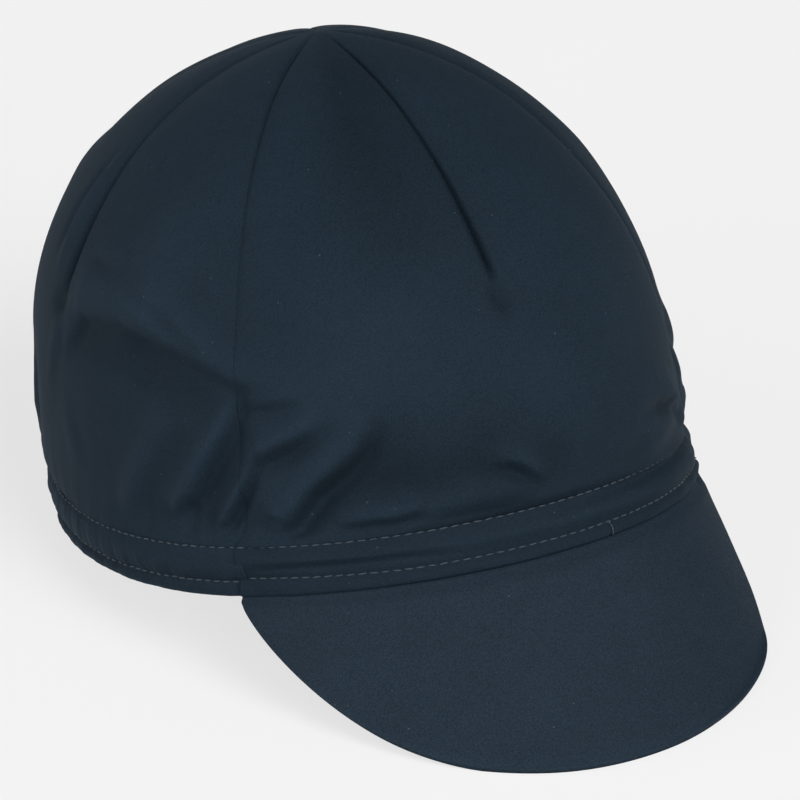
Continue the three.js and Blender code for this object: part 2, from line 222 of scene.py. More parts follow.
cameraSet = {
    "azimuth": -29.52,
    "elevation": 25.78,
    "roll": -0.16,
    "distance": 1.2258,
    "target": (0.0, 0.01087, 0.0653),
    "pixelsPerMetre": 3737.7,  # at the target
    "imageSize": 800,
    "targetPixel": (373.3, 315.6),
    "sensor": 36.0,
    "farthest": 50,
}


def outward(azimuth, elevation):  # the direction from the cap to a camera or a light
    return Vector((math.sin(azimuth) * math.cos(elevation), -math.cos(azimuth) * math.cos(elevation),
                   math.sin(elevation)))


def facing(place, aim):
    return Matrix.Translation(place) @ (aim - place).to_track_quat("-Z", "Y").to_matrix().to_4x4()


def makeCamera():
    azimuth, elevation = math.radians(cameraSet["azimuth"]), math.radians(cameraSet["elevation"])
    back = outward(azimuth, elevation)
    right = Vector((math.cos(azimuth), math.sin(azimuth), 0))
    up = back.cross(right)
    target = Vector(cameraSet["target"])
    place = target + back * cameraSet["distance"]
    half = cameraSet["imageSize"] / 2
    aside = (half - cameraSet["targetPixel"][0]) / cameraSet["pixelsPerMetre"]
    below = (half - cameraSet["targetPixel"][1]) / cameraSet["pixelsPerMetre"]
    aim = target + right * aside - up * below
    data = bpy.data.cameras.new("camera")
    data.sensor_width = cameraSet["sensor"]
    data.lens = (cameraSet["pixelsPerMetre"] * cameraSet["distance"]
                 * cameraSet["sensor"] / cameraSet["imageSize"])
    data.clip_end = cameraSet["farthest"]
    camera = newObject("camera", data)
    roll = Matrix.Rotation(math.radians(-cameraSet["roll"]), 4, "Z")
    camera.matrix_world = facing(place, aim) @ roll
    bpy.context.scene.camera = camera
    bpy.context.scene.view_settings.view_transform = "Standard"


studioLights = {
    "ambient": 0.1,
    "ambientColour": (0.97, 0.985, 1.0),
    "size": 3.9,
    "distance": 6.0,
    # azimuth and elevation in degrees, as seen from the cap, and power
    "softLights": {
        "keyLight": (15, 45, 183),
        "frontLight": (0, 30, 141),
        "leftLight": (-75, 15, 138),
        "leftBackLight": (-120, 15, 85),
        "rightLight": (85, 15, 14),
        "backLight": (155, 8, 20),
    },
    "lookAt": (0.0, 0.0, 0.06),
}


def makeLights():
    world = bpy.data.worlds.new("studio")
    bpy.context.scene.world = world
    world.use_nodes = True
    ambient = {"Color": (*studioLights["ambientColour"], 1), "Strength": studioLights["ambient"]}
    fill(world.node_tree, world.node_tree.nodes["Background"], ambient)
    centre = Vector(studioLights["lookAt"])
    for name, (azimuth, elevation, power) in studioLights["softLights"].items():
        back = outward(math.radians(azimuth), math.radians(elevation))
        data = bpy.data.lights.new(name, "AREA")
        data.shape = "DISK"
        data.size = studioLights["size"]
        data.energy = power
        light = newObject(name, data)
        light.matrix_world = facing(centre + back * studioLights["distance"], centre)


floorSet = {"half": 8.0, "colour": (0.25, 0.25, 0.25), "roughness": 0.9, "specular": 0.1, "glow": 0.70}


def makeFloor():
    half = floorSet["half"]
    mesh = bpy.data.meshes.new("floor")
    corners = [(-half, -half, 0), (half, -half, 0), (half, half, 0), (-half, half, 0)]
    mesh.from_pydata(corners, [], [(0, 1, 2, 3)])
    material, tree, shader = newMaterial("paleFloor")
    fill(tree, shader, {
        "Base Color": (*floorSet["colour"], 1), "Roughness": floorSet["roughness"],
        "Specular IOR Level": floorSet["specular"],
        "Emission Color": (1, 1, 1, 1), "Emission Strength": floorSet["glow"],
    })
    floor = newObject("floor", mesh)
    mesh.materials.append(material)
    floor.visible_diffuse = False  # no bright bounce under the cap, so its folds keep their shade


# Shader groups for the cloth

def newGroup(name, inputs, outputs):
    group = bpy.data.node_groups.new(name, "ShaderNodeTree")
    for label, kind, value in inputs:
        socket = group.interface.new_socket(name=label, in_out="INPUT", socket_type=kind)
        if value is not None:
            socket.default_value = value
    for label, kind in outputs:
        group.interface.new_socket(name=label, in_out="OUTPUT", socket_type=kind)
    return group, group.nodes.new("NodeGroupInput"), group.nodes.new("NodeGroupOutput")


def mathNode(tree, operation, *values):
    return addNode(tree, "ShaderNodeMath", dict(enumerate(values)), operation=operation).outputs[0]


def noiseNode(tree, vector, scale, detail=2.0, roughness=0.5):
    inputs = {"Vector": vector, "Scale": scale, "Detail": detail, "Roughness": roughness}
    return addNode(tree, "ShaderNodeTexNoise", inputs).outputs["Fac"]


def scaledBy(tree, vector, scale):
    return addNode(tree, "ShaderNodeVectorMath", {0: vector, "Scale": scale}, operation="SCALE").outputs[0]


weaveSet = {
    "threads": 2200.0, "unevenness": 0.35, "wanderScale": 260.0,
    "repeat": 3,  # threads from one twill rib to the next
    "toneGain": 0.26, "toneBase": 0.78,
}


def makeWeaveGroup():
    # Crossing threads of a fine twill, worked out from a UV map in metres
    group, given, result = newGroup(
        "twillWeave",
        [("UV", "NodeSocketVector", None), ("Threads Per Metre", "NodeSocketFloat", weaveSet["threads"]),
         ("Unevenness", "NodeSocketFloat", weaveSet["unevenness"])],
        [("Height", "NodeSocketFloat"), ("Thread Tone", "NodeSocketFloat")])
    wander = noiseNode(group, given.outputs["UV"], weaveSet["wanderScale"])
    threads = scaledBy(group, given.outputs["UV"], given.outputs["Threads Per Metre"])
    split = addNode(group, "ShaderNodeSeparateXYZ", {0: threads})
    shifted = mathNode(group, "MULTIPLY", wander, given.outputs["Unevenness"])
    u = mathNode(group, "ADD", split.outputs["X"], shifted)
    v = mathNode(group, "ADD", split.outputs["Y"], shifted)

    def wave(value, pace):
        return mathNode(group, "SINE", mathNode(group, "MULTIPLY", value, pace))

    warp = mathNode(group, "ABSOLUTE", wave(u, math.pi))
    weft = mathNode(group, "ABSOLUTE", wave(v, math.pi))
    rib = wave(mathNode(group, "ADD", u, v), math.pi * 2 / weaveSet["repeat"])
    over = mathNode(group, "MULTIPLY_ADD", rib, 0.5, 0.5)
    under = mathNode(group, "SUBTRACT", 1.0, over)
    height = mathNode(group, "MAXIMUM", mathNode(group, "MULTIPLY", warp, over),
                      mathNode(group, "MULTIPLY", weft, under))
    tone = mathNode(group, "MULTIPLY_ADD", height, weaveSet["toneGain"], weaveSet["toneBase"])
    fill(group, result, {"Height": height, "Thread Tone": tone})
    return group


# Scales of the noise, from slow changes of dye to single fibres
toneSet = {"large": 38.0, "middle": 260.0, "middleShare": 0.6, "fine": 1900.0, "fineRoughness": 0.75}


def makeToneGroup():
    # Slow changes of dye and nap over the cloth, and a fine grain of fibres
    group, given, result = newGroup(
        "clothTone",
        [("Position", "NodeSocketVector", None), ("Mottle", "NodeSocketFloat", 0.1),
         ("Grain", "NodeSocketFloat", 0.1)],
        [("Tone", "NodeSocketFloat"), ("Fibre", "NodeSocketFloat")])
    position = given.outputs["Position"]
    large = noiseNode(group, position, toneSet["large"], detail=3.0)
    middle = noiseNode(group, position, toneSet["middle"], detail=3.0)
    fine = noiseNode(group, position, toneSet["fine"], roughness=toneSet["fineRoughness"])
    both = mathNode(group, "MULTIPLY_ADD", mathNode(group, "SUBTRACT", middle, 0.5),
                    toneSet["middleShare"], mathNode(group, "SUBTRACT", large, 0.5))
    tone = mathNode(group, "MULTIPLY_ADD", both, given.outputs["Mottle"], 1.0)
    grain = mathNode(group, "MULTIPLY", mathNode(group, "SUBTRACT", fine, 0.5), given.outputs["Grain"])
    fill(group, result, {"Tone": mathNode(group, "ADD", tone, grain), "Fibre": fine})
    return group


lintSet = {
    "spacing": 420.0, "size": 0.09, "leftOut": 0.88, "strength": 0.5, "colour": (0.12, 0.14, 0.16, 1),
}


def makeLintGroup():
    # A few specks of pale lint, scattered widely
    group, given, result = newGroup(
        "lintSpecks",
        [("Position", "NodeSocketVector", None), ("Spacing", "NodeSocketFloat", lintSet["spacing"]),
         ("Speck Size", "NodeSocketFloat", lintSet["size"])],
        [("Mask", "NodeSocketFloat")])
    cells = addNode(group, "ShaderNodeTexVoronoi",
                    {"Vector": given.outputs["Position"], "Scale": given.outputs["Spacing"]})
    near = mathNode(group, "LESS_THAN", cells.outputs["Distance"], given.outputs["Speck Size"])
    split = addNode(group, "ShaderNodeSeparateColor", {"Color": cells.outputs["Color"]})
    few = mathNode(group, "GREATER_THAN", split.outputs["Red"], lintSet["leftOut"])
    strength = mathNode(group, "MULTIPLY", few, split.outputs["Green"])
    fill(group, result, {"Mask": mathNode(group, "MULTIPLY", near, strength)})
    return group


clothGroups = {"weave": makeWeaveGroup(), "tone": makeToneGroup(), "lint": makeLintGroup()}


def groupNode(tree, key, inputs):
    return addNode(tree, "ShaderNodeGroup", inputs, node_tree=clothGroups[key])


clothSurface = {"roughnessSpread": 0.12, "fibreHeight": 0.5, "bumpDistance": 0.0001}


def reliefNode(tree, height, look):
    inputs = {"Strength": look["bump"], "Distance": clothSurface["bumpDistance"], "Height": height}
    return addNode(tree, "ShaderNodeBump", inputs).outputs["Normal"]


def makeClothMaterial(name, look):
    material, tree, shader = newMaterial(name)
    position = addNode(tree, "ShaderNodeTexCoord", {}).outputs["Object"]
    uv = addNode(tree, "ShaderNodeUVMap", {}, uv_map="cloth").outputs["UV"]
    wearAndPaintedLight = addNode(tree, "ShaderNodeAttribute", {}, attribute_name="wearAndPaintedLight").outputs["Fac"]
    weave = groupNode(tree, "weave", {"UV": uv, "Threads Per Metre": look["threads"]})
    tone = groupNode(tree, "tone", {"Position": position, "Mottle": look["mottle"], "Grain": look["grain"]})
    lint = groupNode(tree, "lint", {"Position": position})

    shade = mathNode(tree, "MULTIPLY", weave.outputs["Thread Tone"], tone.outputs["Tone"])
    # wear, painted highlights and painted shade from the attribute lighten or darken the dye
    wornAndShaded = mathNode(tree, "MULTIPLY_ADD", wearAndPaintedLight, look["wearAndPaintedLightStrength"], 1.0)
    dyed = scaledBy(tree, look["colour"], mathNode(tree, "MULTIPLY", shade, wornAndShaded))
    specks = mathNode(tree, "MULTIPLY", lint.outputs["Mask"], lintSet["strength"])
    colour = addNode(tree, "ShaderNodeMix", {"Factor": specks, "A": dyed, "B": lintSet["colour"]},
                     data_type="RGBA")
    spread = clothSurface["roughnessSpread"]
    rough = mathNode(tree, "MULTIPLY_ADD", tone.outputs["Fibre"], spread, look["roughness"] - spread / 2)
    surface = mathNode(tree, "MULTIPLY_ADD", tone.outputs["Fibre"], clothSurface["fibreHeight"],
                       weave.outputs["Height"])
    relief = reliefNode(tree, surface, look)
    fill(tree, shader, {
        "Base Color": colour.outputs["Result"], "Roughness": rough, "Normal": relief,
        "Specular IOR Level": look["specular"], "Sheen Weight": look["sheen"],
        "Sheen Roughness": look["sheenRoughness"], "Sheen Tint": (*look["sheenTint"], 1),
    })
    return material


crownLook = {
    "colour": (0.0139, 0.0260, 0.0398), "threads": 2300.0, "mottle": 0.22, "grain": 1.2, "wearAndPaintedLightStrength": 0.3,
    "roughness": 0.74, "specular": 0.07, "bump": 0.4,
    "sheen": 0.03, "sheenRoughness": 0.45, "sheenTint": (0.5, 0.75, 1.0),
}
bandLook = dict(crownLook, colour=(0.0127, 0.0236, 0.0362), wearAndPaintedLightStrength=0.22)
elasticLook = dict(crownLook, wearAndPaintedLightStrength=0.25)
# the peak's dye is a lighter copy of the crown's: painted light, as the peak faces the lamps more
peakLook = dict(crownLook, colour=(0.0190, 0.0317, 0.0471), grain=1.4, wearAndPaintedLightStrength=0.18, threads=2100.0)
threadLook = {
    "colour": (0.034, 0.050, 0.068), "mottle": 0.5, "grain": 0.4,
    "roughness": 0.6, "sheen": 0.1, "bump": 0.5,
}


def makeThreadMaterial():
    material, tree, shader = newMaterial("stitchThread")
    position = addNode(tree, "ShaderNodeTexCoord", {}).outputs["Object"]
    tone = groupNode(tree, "tone", {
        "Position": position, "Mottle": threadLook["mottle"], "Grain": threadLook["grain"],
    })
    fill(tree, shader, {
        "Base Color": scaledBy(tree, threadLook["colour"], tone.outputs["Tone"]),
        "Normal": reliefNode(tree, tone.outputs["Fibre"], threadLook),
        "Roughness": threadLook["roughness"], "Sheen Weight": threadLook["sheen"],
    })
    return material


# Meshes of cloth

mergeSet = {"doubles": 2e-6, "slivers": 1e-7}  # in metres


def clothMesh(name, outer, inner, outerUv, wearAndPaintedLight, material):
    # A closed wall between two sheets of points in metres, rows from the bottom up
    rows, columns = outer.shape[:2]
    count = rows * columns
    number = np.arange(count).reshape(rows, columns)
    a, b, c, d = number[:-1, :-1], number[1:, :-1], number[1:, 1:], number[:-1, 1:]
    outside = np.stack([a, b, c, d], -1).reshape(-1, 4)
    inside = np.stack([a, d, c, b], -1).reshape(-1, 4) + count
    hem, top = number[0], number[-1]
    start, end = number[:, 0], number[:, -1]

    def rim(one, other):  # faces from an edge of the outer sheet to the same edge of the inner one
        return np.stack([one, other, other + count, one + count], -1)

    faces = np.concatenate([
        outside, inside, rim(hem[:-1], hem[1:]), rim(top[1:], top[:-1]),
        rim(start[1:], start[:-1]), rim(end[:-1], end[1:]),
    ])
    points = np.concatenate([outer.reshape(-1, 3), inner.reshape(-1, 3)])
    mesh = bpy.data.meshes.new(name)
    mesh.from_pydata(points.tolist(), [], faces.tolist())
    uvs = np.concatenate([outerUv.reshape(-1, 2), outerUv.reshape(-1, 2)])
    layer = mesh.uv_layers.new(name="cloth")
    layer.data.foreach_set("uv", uvs[faces.reshape(-1)].astype(np.float32).reshape(-1))
    # tone for wear and for painted light and shade, on the outer sheet only
    tones = np.concatenate([wearAndPaintedLight.reshape(-1), np.zeros(count)])
    attribute = mesh.attributes.new("wearAndPaintedLight", "FLOAT", "POINT")
    attribute.data.foreach_set("value", tones.astype(np.float32))
    work = bmesh.new()
    work.from_mesh(mesh)
    bmesh.ops.remove_doubles(work, verts=work.verts, dist=mergeSet["doubles"])
    bmesh.ops.dissolve_degenerate(work, edges=work.edges, dist=mergeSet["slivers"])
    for face in work.faces:
        face.smooth = True
    work.to_mesh(mesh)
    work.free()
    mesh.materials.append(material)
    return newObject(name, mesh)


def clothUv(points, angle, centre, radius):  # threads run up the middle of each piece
    steps = np.linalg.norm(np.diff(points, axis=0), axis=-1)
    up = np.concatenate([np.zeros((1, points.shape[1])), np.cumsum(steps, axis=0)])
    across = np.radians(angle - centre) * radius
    return np.stack([across, up], -1) / 1000


# The crown

crownSet = {
    "cloth": 1.3,
    "wallRows": 9,
    "domeRows": 165,
    "rowCrowding": 1.5,
    "columnCrowding": 0.085,
    "panels": [
        {"name": "crownFrontPanel", "node": "crown_front_panel",
         "lines": ("farSeam", "frontDart", "nearSeam"), "columns": 240},
        {"name": "crownRightPanel", "node": "crown_right_panel",
         "lines": ("nearSeam", "rightDart", "rightBackSeam"), "columns": 220},
        {"name": "crownBackPanel", "node": "crown_back_panel",
         "lines": ("rightBackSeam", "back", "leftBackSeam"), "columns": 90},
        {"name": "crownLeftPanel", "node": "crown_left_panel",
         "lines": ("leftBackSeam", "leftDart", "farSeamFromBack"), "columns": 220},
    ],
    # seams are drawn in sharply towards the top and softly near the band
    "seamWidth": 0.8, "seamDepth": 0.9, "seamHollowWidth": 3.2, "seamHollow": 0.35,
    "seamAtFoot": 0.25, "seamGrows": (0.25, 0.75), "seamCalms": (0.0, 0.25),
    "joinDepth": 0.25, "joinWidth": 1.2,
    "reliefGrows": (-1.0, -0.2), "reliefCalms": (0.93, 1.0),
    "swell": 0.16, "swellSize": 34.0,
    "puckerDepth": 0.4, "puckerReach": 9.0,
    "wearAndShadeLift": 2.0, "wearAndShadeRange": (-0.5, 1),  # mm of relief that give the full tone, lighter on ridges as wear and darker in hollows as painted shade, and the limits of that tone
}

# Darts: sewn like a seam above, opening into a groove and a dimple at their lower end
darts = [
    {"line": "frontDart", "end": 0.345, "width": 1.3, "depth": 2.4, "dimple": 1.5, "dimpleSize": 3.6,
     "dimpleDrop": 4.6},
    {"line": "rightDart", "end": 0.25, "width": 1.25, "depth": 4.0, "dimple": 1.5, "dimpleSize": 3.6,
     "dimpleDrop": 3.6},
    {"line": "leftDart", "end": 0.27, "width": 1.8, "depth": 2.8, "dimple": 1.1, "dimpleSize": 5.5,
     "dimpleDrop": 4.0},
]
dartSeam = {
    "width": 0.8, "depth": 1.0, "opens": 0.35, "fade": 0.02, "hollowWidth": 5.0, "hollow": 0.5,
    "calms": (0.0, 0.3),
}

# Broad folds: from one point to another as angle and height in mm, half width, depth at each end
folds = [
    # the long crease across the near side panel, lit above and dark below
    (94, 69, 76, 68, 6.0, 1.2, 1.2),
    (76, 68, 57, 58, 5.0, 1.2, 0.6),
    (94, 59, 76, 57, 7.0, -1.4, -1.5),
    (76, 57, 58, 48, 6.0, -1.5, -0.6),
    # puckers that rise from the band beside the near seam
    (66, 21, 57, 42, 4.5, 0.6, 0.4),
    (62, 18, 54.5, 40, 3.2, -1.1, -0.7),
    (54, 46.5, 45, 47.5, 2.4, -0.8, -0.5),
    (50, 24, 35, 43, 4.0, 0.6, 0.4),
    (46, 16, 33, 37, 4.0, -0.9, -0.6),
    (65.5, 20, 65, 14, 1.5, -0.7, -0.7),
    (79, 17, 73, 42, 5.5, 0.7, 0.4),
    # soft swells above the front of the band
    (38, 20, 24, 22, 3.5, 0.5, 0.5),
    (15, 25, 3, 25, 3.5, 0.7, 0.7),
    (-30, 21, -43, 23, 4.0, 0.8, 1.0),
    (-53, 16.5, -63, 17.5, 4.5, 1.4, 2.2),
    (-56, 24, -60, 28, 5.5, 0.9, 0.9),
    (-57, 29, -58, 32, 4.5, 0.9, 0.8),
    (-59.5, 38, -60, 42, 6.5, -0.9, -0.7),
    # the front hangs over its band in one broad roll
    (44, 47, -8, 45, 11.0, 0.8, 0.6),
    (42, 26, -4, 27, 6.5, -1.2, -0.9),
    (-67, 76, -68, 88, 9.0, 0.3, 0.5),
    # the far side
    (262, 60, 282, 55, 6.0, -1.5, -0.3),
    (260, 70, 276, 66, 6.0, 1.4, 0.2),
    (292, 18, 303, 38, 4.5, -0.8, -0.3),
    (286, 18, 297, 42, 4.5, 1.0, 0.5),
    (262, 18, 266, 40, 5.0, -0.9, -0.4),
    (236, 19, 240, 44, 6.0, 1.0, 0.5),
    (225, 19, 226, 38, 5.0, -1.0, -0.4),
    # the back, where the elastic draws the cloth in
    (120, 26, 121, 36, 11.0, -1.2, -1.6),
    (138, 106, 139, 114, 12.0, -1.2, -1.1),
    (135, 91, 135, 93, 6.0, 0.5, 0.5),
    (132, 18, 131, 39, 5.0, -1.0, -0.4),
    (148, 18, 146, 42, 6.0, 0.9, 0.5),
    (167, 18, 168, 40, 5.0, -1.0, -0.4),
    (190, 18, 188, 40, 5.0, -0.9, -0.4),
    (210, 18, 212, 42, 6.0, 1.0, 0.5),
]

# Creases: how wide the slope is on the gentle left hand of a path and on its steep right hand, where the
# cloth turns down into a hollow, and the path's points as angle, height and lift of the crest in mm
creases = [
    # near side panel, from the foot of the dart to the near seam
    (5.0, 1.9, [(100, 53, 0), (97, 58, 1.0), (94, 64, 1.2), (89, 65.5, 1.0), (81.5, 66, 1.0),
        (77, 64.5, 1.1), (72, 62.5, 1.0), (65.5, 60.5, 0.8), (60, 57.5, 0.7), (55, 54.5, 0.7),
        (50, 54.5, 0.5), (46, 56, 0)]),
    (4.0, 2.3, [(80, 74.5, 0), (76, 73.5, 0.9), (72, 71, 1.0), (68, 68, 0.9), (63, 64, 0.6),
        (60, 61, 0)]),
    (2.8, 2.2, [(105.0, 101, 0), (106.4, 94, 0.7), (107, 87, 1.0), (107.4, 79, 0.8), (108.4, 70, 0)]),
    (3.5, 1.6, [(96, 79, 0), (92, 79, 0.7), (88, 78, 0.7), (84, 76.5, 0)]),
    (3.5, 3.0, [(93, 20, 0), (95.5, 27, 0.35), (97.5, 35, 0.25), (98, 42, 0)]),
    (3.0, 2.6, [(106, 38, 0), (104.5, 47, 0.3), (103, 56, 0.4), (102, 61, 0)]),
    (4.5, 3.2, [(81.5, 15, 0), (79, 21, 1.1), (76.8, 28, 1.1), (74, 34, 0.9), (71, 39.5, 0.6),
        (69, 44, 0)]),
    (3.8, 2.1, [(70, 17.5, 0), (67.6, 21.5, 2.0), (65.2, 25.5, 2.7), (62.9, 31, 2.9), (60.9, 36, 2.6),
        (58.8, 41, 2.1), (57.2, 46, 1.3), (56, 52, 0)]),
    (2.2, 1.5, [(60.8, 14, 0), (59.2, 18, 1.8), (57.4, 22.5, 2.1), (55.4, 27.5, 1.8), (53.8, 33, 1.0),
        (53, 38, 0)]),
    # front panel beside the near seam
    (4.0, 2.6, [(50, 15, 0), (48, 19, 2.2), (46, 23, 3.0), (43.7, 27, 3.3), (40.8, 30.7, 3.2),
        (37.8, 34.3, 2.7), (35, 38, 1.9), (33.2, 42, 1.1), (32.5, 47, 0)]),
    (3.2, 2.4, [(54, 34, 0), (51, 37, 2.0), (48, 39.4, 2.5), (45, 41.7, 2.0), (42, 44.4, 1.0),
        (39.5, 47.5, 0)]),
    (3.4, 2.0, [(54, 49, 0), (51, 49.8, 0.7), (47, 50.8, 0.6), (43, 52, 0)]),
    (1.8, 1.2, [(51.5, 20.5, 0), (49.5, 21, 0.6), (47.5, 21, 0)]),
    # above the stitches at the front
    (3.2, 1.9, [(39.5, 18, 0), (36, 19.3, 0.9), (32.5, 20, 1.1), (29, 20, 1.1), (26, 21.3, 0.9),
        (23.5, 23, 0)]),
    (4.0, 2.6, [(24, 20.5, 0), (20, 21.3, 0.8), (15, 21.7, 0.9), (10, 21.7, 0.8), (5, 22.2, 0.5),
        (1, 23, 0)]),
    (4.0, 2.1, [(14, 29.5, 0), (9.5, 30.8, 0.6), (6.8, 30.5, 1.4), (4.4, 29.2, 2.0), (2.4, 27.2, 1.8),
        (0.4, 25.0, 1.0), (-1.5, 23, 0)]),
    (4.0, 2.6, [(-14, 22, 0), (-20, 24.5, 0.4), (-26, 26, 0.6), (-31, 25.5, 0.5), (-35, 24, 0)]),
    (6.0, 1.8, [(-26, 32, 0), (-31, 32.2, 0.8), (-36, 31, 1.5), (-41, 28.7, 1.9), (-46, 25.2, 1.7),
        (-51, 20.5, 0)]),
    # far side panel
    (5.0, 2.6, [(254, 58, 0), (262, 64, 1.2), (272, 64, 1.2), (281, 61, 0.7), (289, 57, 0)]),
    (4.0, 2.8, [(281, 16, 0), (287, 24, 1.6), (293, 32, 1.5), (298, 41, 1.0), (301, 49, 0)]),
    (3.0, 2.0, [(296, 15, 0), (300, 21, 1.0), (303, 28, 0)]),
    (4.5, 3.2, [(268, 16, 0), (272, 24, 1.1), (276, 34, 0.8), (278, 43, 0)]),
    (4.5, 3.2, [(250, 17, 0), (248, 27, 0.8), (250, 38, 0)]),
    # the back
    (4.5, 3.2, [(128, 16, 0), (126, 25, 0.9), (127, 36, 0.6), (129, 46, 0)]),
    (4.0, 3.0, [(142, 16, 0), (139, 24, 0.9), (138, 34, 0)]),
    (4.0, 3.0, [(157, 15, 0), (155, 24, 0.8), (155, 37, 0)]),
    (4.5, 3.0, [(176, 15, 0), (178, 25, 0.8), (177, 36, 0)]),
    (4.5, 3.0, [(200, 15, 0), (202, 25, 0.9), (204, 38, 0)]),
    (4.5, 3.2, [(218, 16, 0), (221, 26, 0.9), (220, 38, 0)]),
]
creaseHollow = {"share": 0.75, "away": 1.7, "width": 1.1}  # in steep widths from the crest


def foldLift(fold, angle, height):
    a1, z1, a2, z2, width, depth1, depth2 = fold
    arc = capShape["arcPerDegree"]
    runX, runZ = (a2 - a1) * arc, z2 - z1
    offX, offZ = (nearestTurn(angle, a1) - a1) * arc, height - z1
    share = np.clip((offX * runX + offZ * runZ) / (runX ** 2 + runZ ** 2), 0, 1)
    return mix(depth1, depth2, share) * bump(np.hypot(offX - runX * share, offZ - runZ * share), width)


def creaseLift(crease, angle, height):
    gentle, steep, path = crease
    pathAngle, pathZ, lifts = np.array(path, float).T
    x = -nearestTurn(angle, pathAngle[0]) * capShape["arcPerDegree"]
    pathX = -nearestTurn(pathAngle, pathAngle[0]) * capShape["arcPerDegree"]
    nearest = np.full(x.shape, np.inf)
    away, lift = np.zeros(x.shape), np.zeros(x.shape)
    for i in range(len(lifts) - 1):
        runX, runZ = pathX[i + 1] - pathX[i], pathZ[i + 1] - pathZ[i]
        length = math.hypot(runX, runZ)
        offX, offZ = x - pathX[i], height - pathZ[i]
        share = np.clip((offX * runX + offZ * runZ) / length ** 2, 0, 1)
        distance = np.hypot(offX - runX * share, offZ - runZ * share)
        rightHand = (offX * runZ - offZ * runX) / length
        closer = distance < nearest
        nearest = np.where(closer, distance, nearest)
        away = np.where(closer, np.copysign(distance, rightHand), away)
        lift = np.where(closer, mix(lifts[i], lifts[i + 1], share), lift)
    crest = np.where(away < 0, bump(away, gentle), bump(away, steep))
    hollow = bump(away - creaseHollow["away"] * steep, creaseHollow["width"] * steep)
    return lift * (crest - creaseHollow["share"] * hollow)


def dartPress(dart, angle, climb, height):
    line = seamLines[dart["line"]]
    shrink = narrowing(climb)
    off = (nearestTurn(angle, line["angle"]) - lineAngle(line, climb)) * capShape["arcPerDegree"] * shrink
    opening = 1 - smooth(climb, dart["end"], dart["end"] + dartSeam["opens"])
    width = mix(dartSeam["width"], dart["width"], opening)
    depth = mix(dartSeam["depth"], dart["depth"], opening)
    reach = smooth(climb, dart["end"] - dartSeam["fade"], dart["end"] + dartSeam["fade"] * 2)
    calm = smooth(shrink, *dartSeam["calms"])
    hollow = dartSeam["hollow"] * bump(off, dartSeam["hollowWidth"])
    endHeight = crownSurface(np.array(line["angle"]), np.array(dart["end"]))[..., 2] - dart["dimpleDrop"]
    dimple = dart["dimple"] * bump(np.hypot(off, height - endHeight), dart["dimpleSize"])
    return (depth * bump(off, width) + hollow) * reach * calm + dimple


# Small upright gathers, closest together where the elastic pulls; the waves are counted over the span
gathers = {
    "begin": (56, 70), "end": (290, 304), "span": 249, "atSides": 0.36, "backGrows": (-60, -36),
    "broad": {"count": 50, "stray": 2.2, "size": 60.0, "seed": 11, "share": 0.75},
    "fine": {"count": 117, "stray": 3.0, "size": 45.0, "seed": 12, "share": 0.35},
    "uneven": 0.3,
}


def elasticPucker(angle, points):
    turn = nearestTurn(angle, 180.0)

    def gather(wave):
        wander = unevenness(points, wave["size"], wave["seed"])
        turns = np.radians(turn * wave["count"] * 360 / gathers["span"])
        return np.sin(turns + wave["stray"] * wander) * wave["share"], wander

    broad, wander = gather(gathers["broad"])
    fine, _ = gather(gathers["fine"])
    inCasing = smooth(turn, *gathers["begin"]) * (1 - smooth(turn, *gathers["end"]))
    toBack = mix(gathers["atSides"], 1, smooth(-abs(turn - 180), *gathers["backGrows"]))
    return inCasing * toBack * (broad + fine + gathers["uneven"] * wander)


# At the far end of the front band the cloth is drawn in at the band's top, and the hem stands out
farPinch = {
    "angle": -62.0, "width": 15.0, "depth": 1.9, "growsOnBand": (5.5, 11.0), "fadesOnCrown": (0.3, 3.5),
    "hemAngle": -57.0, "hemWidth": 9.0, "hemOut": 0.6, "hemFades": (2.0, 7.0),
}


def crownRelief(angle, climb, smoothPoints):
    height = smoothPoints[..., 2]
    lift = sum(foldLift(fold, angle, height) for fold in folds)
    lift = lift + sum(creaseLift(crease, angle, height) for crease in creases)
    lift = lift - sum(dartPress(dart, angle, climb, height) for dart in darts)
    grown = smooth(climb, *crownSet["reliefGrows"])
    calmed = 1 - smooth(climb, *crownSet["reliefCalms"])
    lift = lift * grown * calmed
    above = height - rimHeight(angle) - capShape["bandHeight"]
    lift = lift + crownSet["puckerDepth"] * elasticPucker(angle, smoothPoints) * np.exp(
        -np.maximum(above, 0) / crownSet["puckerReach"])
    lift = lift + crownSet["swell"] * unevenness(smoothPoints, crownSet["swellSize"], 5) * calmed
    pinch = farPinch["depth"] * around(angle, farPinch["angle"], farPinch["width"])
    lift = lift - pinch * (1 - smooth(above, *farPinch["fadesOnCrown"]))
    return lift - crownSet["joinDepth"] * bump(above, crownSet["joinWidth"])


# Painted highlights and painted shade on the crown, lighter where its slopes face the light and darker on
# its top and in hollows: angle, height and width in mm, share of the tone for wear and painted light
paintedLightPatches = [
    (20, 103, 30, -0.9),
    (27, 113, 14, -0.2),
    (-29, 60, 22, 0.3),
    (26, 68, 20, 0.5),
    (29, 40, 13, -0.8),
    (72, 83, 12, 0.5),
    (108, 92, 12, 0.4),
    (10, 34, 18, -0.6),
    (-42, 24, 8, -0.6),
    (-36, 28.5, 7, -0.4),
]


# painted highlights and painted shade on the crown, summed over the patches
def paintedLightAndShade(angle, height):
    arc = capShape["arcPerDegree"]
    return sum(share * bump(np.hypot((nearestTurn(angle, at) - at) * arc, height - level), width)
               for at, level, width, share in paintedLightPatches)


def rowClimbs():
    wall = np.arange(crownSet["wallRows"]) / crownSet["wallRows"] - 1
    dome = (np.arange(crownSet["domeRows"] + 1) / crownSet["domeRows"]) ** crownSet["rowCrowding"]
    return np.concatenate([wall, dome])


def columnShares(count):
    share = np.arange(count + 1) / count
    return share - crownSet["columnCrowding"] * np.sin(2 * np.pi * share)


